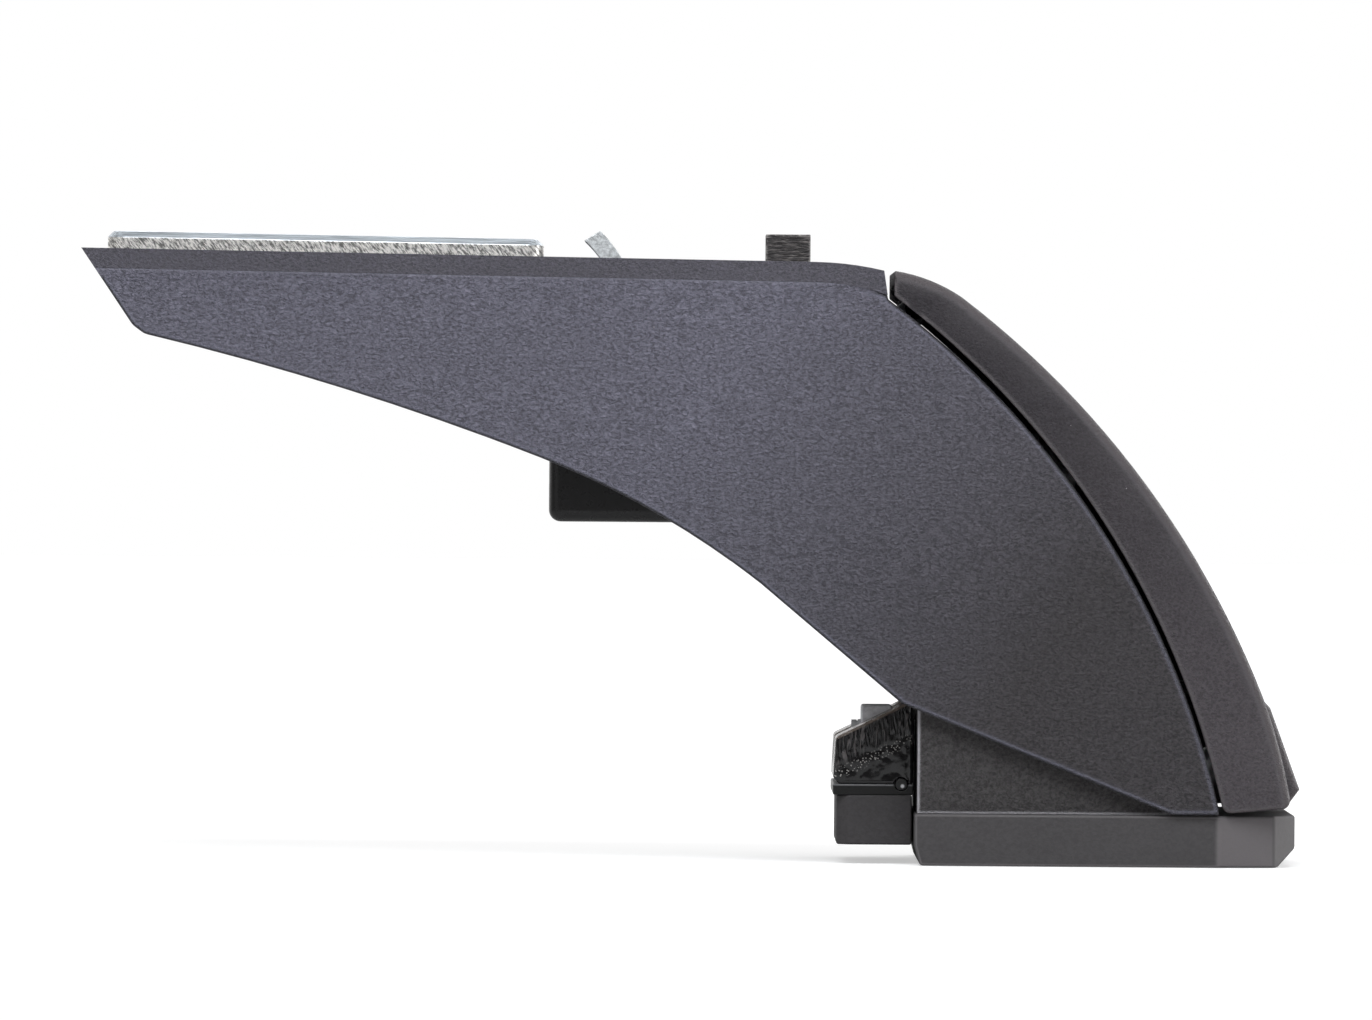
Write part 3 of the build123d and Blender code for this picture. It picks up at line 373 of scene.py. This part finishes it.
# ------------------------------------------------------------------ saddle pad
# A soft rubber saddle lies along the arm's top for the bar, and shows at the flank as a smoother,
# darker band. The fine light line under it is a painted highlight on the shell.
def drawn_in(form):
    """Draws the saddle's flanks in by a hundredth of a millimetre from the plane of the shell's."""
    flank_from, shift = 0.031, 0.00001
    for corner in form.verts:
        if abs(corner.co.y) > flank_from:
            corner.co.y -= copysign(shift, corner.co.y)


saddle_skin = moulded("saddle_skin", (0.052, 0.049, 0.063), 0.5, grain=(0.5, 0.35), depth=0.0003,
                      tone=0.4, gloss=0.4)
dressed("saddle_pad", "foot", saddle_skin, edge=0.00004, reshape=drawn_in)


# ---------------------------------------------------------------- T-slot plate
# The plate that slides into the bar's slot is sawn from zinc-plated flat steel: its long edge
# shows the saw's slanting marks, its top chamfer runs of fine lines. Two socket screws hold it on
# spacers in the shell, with nuts below.
plate_zinc = blank("sawn_zinc")
plate_place = place_in(plate_zinc)
saw_lean = radians(51)
saw_across = across(plate_zinc, plate_place, (sin(saw_lean), 0.0, cos(saw_lean)), 3000.0)
saw_along = across(plate_zinc, plate_place, (cos(saw_lean), 0.0, -sin(saw_lean)), 700.0)
saw_place = into(plate_zinc, "CombineXYZ", saw_across, saw_along, 0.0)
saw_mark = into(plate_zinc, "TexNoise", Vector=saw_place, Scale=1.0, Detail=4.0, Roughness=0.7)
line_place = into(plate_zinc, "Mapping", plate_place, Scale=(90.0, 3400.0, 3400.0))
line_mark = into(plate_zinc, "TexNoise", Vector=line_place, Scale=1.0, Detail=3.0, Roughness=0.6)
plate_level = across(plate_zinc, plate_place, square_to_arm, in_mm)
# the saw's band ends a millimetre below the plate's top, at 101.7 on this scale
band = ramp(plate_zinc, plate_level, 101.55, 101.75)
mark = into(plate_zinc, "MixRGB", band, saw_mark, line_mark)
saw_tint = ramp(plate_zinc, saw_mark, 0.42, 0.56, first=0.2, last=1.25)
line_tint = ramp(plate_zinc, line_mark, 0.38, 0.6, first=0.45, last=1.15)
plate_tint = into(plate_zinc, "MixRGB", band, saw_tint, line_tint)
plate_tone = into(plate_zinc, "MixRGB", band, (0.78, 0.76, 0.73, 1.0), (0.60, 0.65, 0.70, 1.0))
plate_base = into(plate_zinc, "MixRGB", 1.0, plate_tone, plate_tint, blend_type="MULTIPLY")
feed(plate_zinc, "Base Color", plate_base)
shader_of(plate_zinc).inputs["Metallic"].default_value = 0.7
plate_dull = ramp(plate_zinc, mark, 0.3, 0.7, first=0.5, last=0.28)
feed(plate_zinc, "Roughness", plate_dull)
plate_relief = into(plate_zinc, "Bump", Strength=1.0, Distance=0.00006, Height=mark)
feed(plate_zinc, "Normal", plate_relief)
dressed("t_slot_plate", "foot", plate_zinc, edge=0.00015)
bushing_zinc = zinc_plated("bushing_zinc", (0.56, 0.57, 0.58), rough=0.36)
dressed("t_plate_screws", "foot", fastener_zinc, edge=0.00025)
dressed("t_plate_spacers", "foot", bushing_zinc, edge=0.0003)
dressed("t_plate_nuts", "foot", fastener_zinc, edge=0.0004)


# ----------------------------------------------------------------- claw lever
# A bell crank bent from 3 mm steel and zinc-plated. Its upper end is the claw that leans inboard
# through the saddle and grips the bar, with pale rough faces and sheared edges.
claw_zinc = zinc_plated("claw_zinc", (0.58, 0.60, 0.61), rough=0.45, metal=0.5,
                        streak=(1100.0, 1100.0, 1100.0), depth=0.00012, tone=0.38)
claw_base = base_of(claw_zinc)
claw_round = into(claw_zinc, "Bevel", 0.00035, samples=6)
claw_flat = facing(claw_zinc)
claw_turn = measured(claw_zinc, "DOT_PRODUCT", claw_round, claw_flat)
# painted shade: a dark line along every edge of the claw, where its rounding turns away from the
# light
claw_edge_shade = ramp(claw_zinc, claw_turn, 0.99, 0.9, last=0.75)
claw_shade = into(claw_zinc, "MixRGB", claw_edge_shade, claw_base, (0.16, 0.16, 0.17, 1.0))
feed(claw_zinc, "Base Color", claw_shade)
dressed("claw_lever", "claw", claw_zinc, edge=0.00018)
dressed("pivot_pin", "foot", fastener_zinc, edge=0.0002)
dressed("pivot_clips", "foot", fastener_zinc, edge=0.0001)


# --------------------------------------------------- upper screw and its nut
# A long M6 socket screw draws the barrel nut along and so swings the claw. It turns in a bush on
# the frame's sloping web. The thread is rolled and runs out softly.
def thread_tree():
    """The rolled thread: one triangular ridge along a helix, fading into the core at both ends."""
    tree = bpy.data.node_groups.new("rolled_thread", "GeometryNodeTree")
    for size in ("Radius", "Pitch", "Length"):
        tree.interface.new_socket(size, in_out="INPUT", socket_type="NodeSocketFloat")
    tree.interface.new_socket("Finish", in_out="INPUT", socket_type="NodeSocketMaterial")
    tree.interface.new_socket("Thread", in_out="OUTPUT", socket_type="NodeSocketGeometry")
    sizes = tree.nodes.new("NodeGroupInput").outputs
    tooth_share, runout_rate = 0.52, 1.5
    turns = wired(tree, "ShaderNodeMath", sizes["Length"], sizes["Pitch"], operation="DIVIDE")
    tooth = wired(tree, "ShaderNodeMath", sizes["Pitch"], tooth_share, operation="MULTIPLY")
    course = wired(tree, "ShaderNodeMath", sizes["Radius"], tooth, operation="SUBTRACT")
    helix = wired(tree, "GeometryNodeCurveSpiral", Resolution=28, Rotations=turns,
                  Start_Radius=course, End_Radius=course, Height=sizes["Length"])
    helix = wired(tree, "GeometryNodeSetCurveNormal", helix, mode="Z_UP")
    share = wired(tree, "GeometryNodeSplineParameter")
    left = wired(tree, "ShaderNodeMath", 1.0, share, operation="SUBTRACT")
    nearest = wired(tree, "ShaderNodeMath", share, left, operation="MINIMUM")
    runout = wired(tree, "ShaderNodeMath", nearest, turns, operation="MULTIPLY")
    runout = wired(tree, "ShaderNodeMath", runout, runout_rate, operation="MULTIPLY",
                   use_clamp=True)
    helix = wired(tree, "GeometryNodeSetCurveRadius", helix, Radius=runout)
    profile = wired(tree, "GeometryNodeCurvePrimitiveCircle", Resolution=3, Radius=tooth)
    ridge = wired(tree, "GeometryNodeCurveToMesh", helix, profile, Fill_Caps=True, Scale=runout)
    ridge = wired(tree, "GeometryNodeRealizeInstances", ridge)
    ridge = wired(tree, "GeometryNodeSetMaterial", ridge, Material=sizes["Finish"])
    tree.links.new(ridge, tree.nodes.new("NodeGroupOutput").inputs[0])
    return tree


rolled_thread = thread_tree()


def threaded(name, body, radius, pitch, tip, length, height, finish):
    """One thread by the tree, along +X from tip, at that height, as a plain mesh on its body."""
    piece = bpy.data.objects.new(name, bpy.data.meshes.new(name))
    bpy.context.collection.objects.link(piece)
    rolling = piece.modifiers.new("rolling", "NODES")
    rolling.node_group = rolled_thread
    made_to = {"Radius": radius, "Pitch": pitch, "Length": length, "Finish": finish}
    for socket in rolled_thread.interface.items_tree:
        if socket.in_out == "INPUT":
            rolling[socket.identifier] = made_to[socket.name]
    ready = piece.evaluated_get(bpy.context.evaluated_depsgraph_get())
    piece.data = bpy.data.meshes.new_from_object(ready)
    piece.modifiers.clear()
    along_x = Matrix.Rotation(radians(90), 4, "Y")
    piece.data.transform(Matrix.Translation((tip, 0.0, height)) @ along_x)
    piece.data.shade_smooth()
    piece.data.set_sharp_from_angle(angle=radians(45))
    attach(piece, body)


def turned_down(height, core, end):
    """Turns a screw's shank down to its thread's core, up to end, for the thread to stand on."""
    shoulder, cut_reach = 0.0006, 0.0001

    def reshape(form):
        for cut in (end, end + shoulder):
            bmesh.ops.bisect_plane(form, geom=form.verts[:] + form.edges[:] + form.faces[:],
                                   plane_co=(cut, 0.0, 0.0), plane_no=(1.0, 0.0, 0.0))
        for corner in form.verts:
            off_axis = Vector((0.0, corner.co.y, corner.co.z - height))
            if corner.co.x < end + cut_reach and off_axis.length > core:
                off_axis *= core / off_axis.length
                corner.co.y, corner.co.z = off_axis.y, height + off_axis.z
    return reshape


screw_zinc = zinc_plated("screw_zinc", (0.72, 0.72, 0.73), rough=0.3, metal=0.6,
                         streak=(1800.0, 1800.0, 1800.0))
dressed("upper_screw", "claw_screw", screw_zinc, edge=0.0002,
        reshape=turned_down(height=0.065, core=0.0025, end=-0.056))
threaded("upper_screw_thread", "claw_screw", radius=0.003, pitch=0.001, tip=-0.0875,
         length=0.0315, height=0.065, finish=screw_zinc)
dressed("upper_nut", "claw_nut", fastener_zinc, edge=0.0002)
dressed("upper_screw_seat", "foot", bushing_zinc, edge=0.0003)


# ----------------------------------------------------------------- guide block
# A small steel block that centres the bar, blackened and scuffed: faint bands from the cutter run
# along it and the coating is rubbed through at its edges. A screw from below holds it.
block_black = moulded("block_black", (0.020, 0.017, 0.017), 0.45, grain=(1.6, 0.3), depth=0.0002,
                      tone=0.6, gloss=0.4, specks=0.5)
block_base = base_of(block_black)
block_place = place_in(block_black)
scratch = into(block_black, "Mapping", block_place, Scale=(330.0, 1500.0, 3000.0))
scratch = into(block_black, "TexNoise", Vector=scratch, Scale=1.0, Detail=3.0, Roughness=0.7)
scratch = ramp(block_black, scratch, 0.52, 0.64, last=0.9)
block_base = into(block_black, "MixRGB", scratch, block_base, (0.15, 0.135, 0.13, 1.0))
feed(block_black, "Base Color", block_base)


def rubbed(finish, bare, radius, most, scrape):
    """Bare metal or lighter plastic showing at a finish's edges, broken up by scrapes."""
    under = base_of(finish)
    soft = into(finish, "Bevel", radius, samples=6)
    flat = facing(finish)
    turn = measured(finish, "DOT_PRODUCT", soft, flat)
    edge = ramp(finish, turn, 0.995, 0.92, last=most)
    place = place_in(finish)
    patch = into(finish, "TexNoise", Vector=place, Scale=scrape, Detail=4.0, Roughness=0.7)
    patch = ramp(finish, patch, 0.42, 0.6)
    share = times(finish, edge, patch)
    shade = into(finish, "MixRGB", share, under, (*bare, 1.0))
    feed(finish, "Base Color", shade)


def squared(form):
    """Brings the block's top edges out to full square corners."""
    low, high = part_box("guide_block")
    top_reach, chamfer_reach = 0.0001, 0.0006
    for corner in form.verts:
        if corner.co.z > high.z - top_reach:
            for side in (0, 1):
                for end in (low[side], high[side]):
                    if abs(corner.co[side] - end) < chamfer_reach:
                        corner.co[side] = end


rubbed(block_black, bare=(0.46, 0.44, 0.42), radius=0.0006, most=1.0, scrape=1300.0)
dressed("guide_block", "foot", block_black, edge=0.0001, reshape=squared)
dressed("guide_screw", "foot", fastener_zinc, edge=0.0002)


# ----------------------------------------------------------------- front cover
# A brown-black plastic cover closes the outboard side. It hooks onto a pin under its top edge
# and carries the lock in a raised boss at its foot. Its grain is finer than the arm's, with tiny
# specks.
bore_x, bore_z, bore_reach = -0.032, 0.0928, 0.0017
flank_inside, flank_rim, flank_outside = 0.029, 0.030, 0.0325


def on_bore(corner):
    """Whether a corner lies on the pin's bore within the cover's flanks."""
    off_axis = Vector((corner.co.x - bore_x, corner.co.z - bore_z))
    return abs(corner.co.y) > flank_inside and off_axis.length < bore_reach


def closed_flanks(form):
    """Puts lids on the pin's bore in the flanks, which are whole in the real moulding."""
    bore = [f for f in form.faces if all(on_bore(v) for v in f.verts)]
    rims = [[v.co.copy() for v in form.verts if on_bore(v) and v.co.y * side > flank_outside]
            for side in (-1, 1)]
    bmesh.ops.delete(form, geom=bore, context="FACES_ONLY")
    for stray in [e for e in form.edges if not e.link_faces]:
        form.edges.remove(stray)
    for rim in rims:
        rim.sort(key=lambda at: atan2(at.z - bore_z, at.x - bore_x))
        lid = form.faces.new([form.verts.new(at) for at in rim])
        lid.normal_update()
        if lid.normal.y * rim[0].y < 0:
            lid.normal_flip()


# the cover's colour runs lighter towards its foot
cover_grain = moulded("cover_grain", (0.021, 0.018, 0.022), 0.52, grain=(0.5, 0.4), depth=0.0004,
                      tone=0.28, gloss=0.28, specks=0.35,
                      tone_slope=((0.0, 0.0, -1.0), -0.085, -0.022, (0.056, 0.049, 0.055)))
# painted highlight: a lighter band along the cover's flank rims, most of all along its inner edge
painted_rim_lines(cover_grain, radius=0.0013, light=(0.085, 0.078, 0.084), dark=(0.075, 0.066, 0.070))
dressed("front_cover", "cover", cover_grain, edge=0.0003, rings=3, sharp=24.0,
        near=lambda place: abs(place.y) > flank_rim, reshape=closed_flanks)
dressed("hinge_pin", "foot", fastener_zinc, edge=0.0003)


# ------------------------------------------------------------------------ lock
# A nickel-plated sleeve in the cover's boss holds a core with a key slot. The cam behind it catches
# the keeper on the frame when the key is turned.
lock_nickel = zinc_plated("lock_nickel", (0.60, 0.59, 0.57), rough=0.2,
                          streak=(700.0, 700.0, 700.0), depth=0.000004, tone=0.05)
core_nickel = zinc_plated("core_nickel", (0.52, 0.51, 0.49), rough=0.28,
                          streak=(2400.0, 60.0, 2400.0), depth=0.00001, tone=0.1)
dressed("lock_sleeve", "cover", lock_nickel, edge=0.00035, rings=3)
dressed("lock_core", "lock", core_nickel, edge=0.0002)
dressed("lock_cam", "lock", bushing_zinc, edge=0.0002)
dressed("cam_screw", "lock", fastener_zinc, edge=0.0002)


# ----------------------------------------------------------------- steel frame
# Inside, a channel pressed from 3 mm steel carries the bar's load to the base. It is dip-painted
# black after the keeper is welded on, with its spacers riveted between the flanges.
frame_black = moulded("frame_black", (0.026, 0.026, 0.027), 0.38, grain=(0.8, 0.8), depth=0.00002,
                      tone=0.15, gloss=0.5)
rubbed(frame_black, bare=(0.16, 0.15, 0.14), radius=0.0005, most=0.6, scrape=700.0)
dressed("steel_frame", "foot", frame_black, edge=0.0004)
dressed("base_plate", "foot", frame_black, edge=0.0003)
dressed("frame_spacers", "foot", frame_black, edge=0.0003)
dressed("frame_rivets", "foot", frame_black, edge=0.0005, rings=3)
dressed("latch_keeper", "foot", frame_black, edge=0.0003)
dressed("foot_screws", "foot", fastener_zinc, edge=0.0003)


# --------------------------------------------------------------- lever housing
# A smooth black box under the arm covers the claw's crank. It is moulded in a polished tool, so its
# rounded corner shows a soft highlight, and two small screws hold it on each side.
housing_black = moulded("housing_black", (0.009, 0.0085, 0.009), 0.3, grain=(1.6, 1.6),
                        depth=0.000015, tone=0.08, gloss=0.3)
dressed("lever_housing", "foot", housing_black, edge=0.0003)
dressed("housing_screws", "foot", fastener_zinc, edge=0.00015)


# ------------------------------------------------------- base shoe and main pad
# The shoe is a black moulding round the frame's foot, with fine grain and a crisp upright corner.
# The pad below it is soft dark grey rubber, pegged into the shoe, and tapers outboard in facets.
shoe_black = moulded("shoe_black", (0.034, 0.031, 0.032), 0.48, grain=(0.5, 0.45), depth=0.0004,
                     tone=0.5, gloss=0.4)
# painted highlight: a bright line along the shoe's flank rims, where its upright corner catches the
# light
painted_rim_lines(shoe_black, radius=0.0008, light=(0.34, 0.33, 0.35), dark=(0.3, 0.29, 0.31))
dressed("base_shoe", "foot", shoe_black, edge=0.0003, rings=3)
pad_grey = moulded("pad_grey", (0.056, 0.053, 0.055), 0.72, grain=(0.7, 0.5), depth=0.00003,
                   tone=0.07, gloss=0.3)
pad_base = base_of(pad_grey)
pad_place = place_in(pad_grey)
# the flank turns into its first facet at this length, and a painted highlight runs up that edge,
# where a rounding would catch the light
facet_start, facet_reach = 0.0186, 0.0007
facet_run = into(pad_grey, "SeparateXYZ", pad_place)
facet_off = into(pad_grey, "Math", facet_run, facet_start, operation="SUBTRACT")
facet_off = into(pad_grey, "Math", facet_off, operation="ABSOLUTE")
facet_highlight = ramp(pad_grey, facet_off, 0.0, facet_reach, first=0.6, last=0.0)
pad_base = into(pad_grey, "MixRGB", facet_highlight, pad_base, (0.16, 0.15, 0.155, 1.0))
feed(pad_grey, "Base Color", pad_base)
# painted highlight: a lighter line along the pad's flank rims
painted_rim_lines(pad_grey, radius=0.0005, light=(0.13, 0.12, 0.125), dark=(0.09, 0.085, 0.088))
dressed("main_pad", "foot", pad_grey, edge=0.0004, rings=3, sharp=8.0)


# ------------------------------------------------------------------ clamp jaw
# The jaw that hooks under the roof's edge is a glossy black casting with a sloping top, ground
# upright along its side. A square nut in it takes the lower screw, a thin plate and a small rubber
# pad lie under it, and a dowel keeps them square.
jaw_black = blank("jaw_black")
jaw_place = place_in(jaw_black)
jaw_drawn = into(jaw_black, "Mapping", jaw_place, Scale=(1300.0, 1300.0, 240.0))
ground = into(jaw_black, "TexNoise", Vector=jaw_drawn, Scale=1.0, Detail=1.0, Roughness=0.4,
              Distortion=1.6)
cast = into(jaw_black, "TexNoise", Vector=jaw_place, Scale=500.0, Detail=1.5, Roughness=0.4)
# this scale rises square to the sloping top, which is at 43.1 on it, in mm
top_slope = 0.491
jaw_level = across(jaw_black, jaw_place, (-top_slope, 0.0, 1.0), in_mm)
ground_zone = ramp(jaw_black, jaw_level, 37.6, 39.2)
jaw_relief = into(jaw_black, "MixRGB", ground_zone, cast, ground)
jaw_bump = into(jaw_black, "Bump", Strength=1.0, Distance=0.0004, Height=jaw_relief)
feed(jaw_black, "Normal", jaw_bump)
# painted glints: bright specks in a band that slopes with the top, where the casting catches the
# light
glints = into(jaw_black, "TexVoronoi", Vector=jaw_place, Scale=2400.0)
glints = into(jaw_black, "Math", glints, 0.3, operation="LESS_THAN")
glint_from = ramp(jaw_black, jaw_level, 35.4, 36.2)
glint_to = ramp(jaw_black, jaw_level, 37.2, 38.0, first=1.0, last=0.0)
glint_band = times(jaw_black, glint_from, glint_to)
glints = times(jaw_black, glints, glint_band)
# painted highlight on the crests of the ground ridges near the top
crest_highlight = ramp(jaw_black, ground, 0.56, 0.66)
crest_highlight = times(jaw_black, crest_highlight, ground_zone)
jaw_base = into(jaw_black, "MixRGB", crest_highlight, (0.0045, 0.004, 0.0045, 1.0),
                (0.075, 0.068, 0.068, 1.0))
jaw_base = into(jaw_black, "MixRGB", glints, jaw_base, (0.26, 0.25, 0.24, 1.0))
# painted highlight: a light warm line just under the sloping top edge
top_edge_highlight = ramp(jaw_black, jaw_level, 42.5, 42.9, last=0.8)
jaw_base = into(jaw_black, "MixRGB", top_edge_highlight, jaw_base, (0.26, 0.21, 0.18, 1.0))
feed(jaw_black, "Base Color", jaw_base)
jaw_dull = ramp(jaw_black, cast, 0.3, 0.7, first=0.14, last=0.28)
feed(jaw_black, "Roughness", jaw_dull)
shader_of(jaw_black).inputs["Specular IOR Level"].default_value = 0.5
dressed("clamp_jaw", "jaw", jaw_black, edge=0.0004, rings=3)
nut_grey = zinc_plated("nut_grey", (0.76, 0.76, 0.79), rough=0.6, metal=0.1,
                       streak=(900.0, 900.0, 900.0), depth=0.00003, tone=0.2)
dressed("jaw_nut", "jaw", nut_grey, edge=0.0004)
# the plate's dark grey is partly its own dark film and partly painted shade for its place under the
# jaw
plate_dark = zinc_plated("plate_dark", (0.12, 0.12, 0.125), rough=0.4, metal=0.3, tone=0.2)
plate_dark_base = base_of(plate_dark)
plate_dark_place = place_in(plate_dark)
plate_dark_height = across(plate_dark, plate_dark_place, (0.0, 0.0, 1.0), in_mm)
# painted shadow: the plate goes near black below its upper edge, in the shade between it and the
# rubber pad
plate_painted_shadow = ramp(plate_dark, plate_dark_height, 12.98, 12.85)
plate_dark_base = into(plate_dark, "MixRGB", plate_painted_shadow, plate_dark_base, (0.006, 0.006, 0.006, 1.0))
feed(plate_dark, "Base Color", plate_dark_base)
dressed("jaw_plate", "jaw", plate_dark, edge=0.0002)
jaw_rubber = moulded("jaw_rubber", (0.046, 0.043, 0.045), 0.7, grain=(0.7, 0.5), depth=0.00003,
                     tone=0.07, gloss=0.3)
dressed("inner_pad", "jaw", jaw_rubber, edge=0.0004, rings=3)
dowel_dark = zinc_plated("dowel_dark", (0.012, 0.012, 0.012), rough=0.3, metal=0.2)
dowel_base = base_of(dowel_dark)
dowel_place = place_in(dowel_dark)
# a painted highlight: only a spot near the middle of the dowel's end is bright, where its shiny end
# would catch the light
dowel_axis = (-0.0338, 0.0, 0.0129)
dowel_off = into(dowel_dark, "VectorMath", dowel_place, dowel_axis, operation="SUBTRACT")
dowel_off = into(dowel_dark, "VectorMath", dowel_off, (1.0, 0.0, 1.0), operation="MULTIPLY")
dowel_off = measured(dowel_dark, "LENGTH", dowel_off)
dowel_highlight = ramp(dowel_dark, dowel_off, 0.0002, 0.0004, first=1.0, last=0.0)
dowel_base = into(dowel_dark, "MixRGB", dowel_highlight, dowel_base, (0.55, 0.55, 0.57, 1.0))
feed(dowel_dark, "Base Color", dowel_base)
dressed("jaw_dowel", "jaw", dowel_dark, edge=0.0001)


# ------------------------------------------------------------------ lower screw
# An M8 socket screw behind the cover draws the jaw outboard. Its zinc thread shows close to both
# sides of the square nut, and its head bears on a bush in the frame's web.
def cut_back(form):
    """Turns the shank down for the thread and ends it just inboard of the nut."""
    turned_down(height=0.020, core=0.00335, end=-0.014)(form)
    tip = -0.0422
    for corner in form.verts:
        corner.co.x = max(corner.co.x, tip)


thread_zinc = zinc_plated("thread_zinc", (0.85, 0.85, 0.86), rough=0.45, metal=0.2,
                          streak=(1800.0, 1800.0, 1800.0))
dressed("lower_screw", "jaw_screw", thread_zinc, edge=0.00025, reshape=cut_back)
threaded("lower_screw_thread", "jaw_screw", radius=0.004, pitch=0.00125, tip=-0.0424,
         length=0.0284, height=0.020, finish=thread_zinc)
dressed("lower_screw_seat", "foot", bushing_zinc, edge=0.0003)
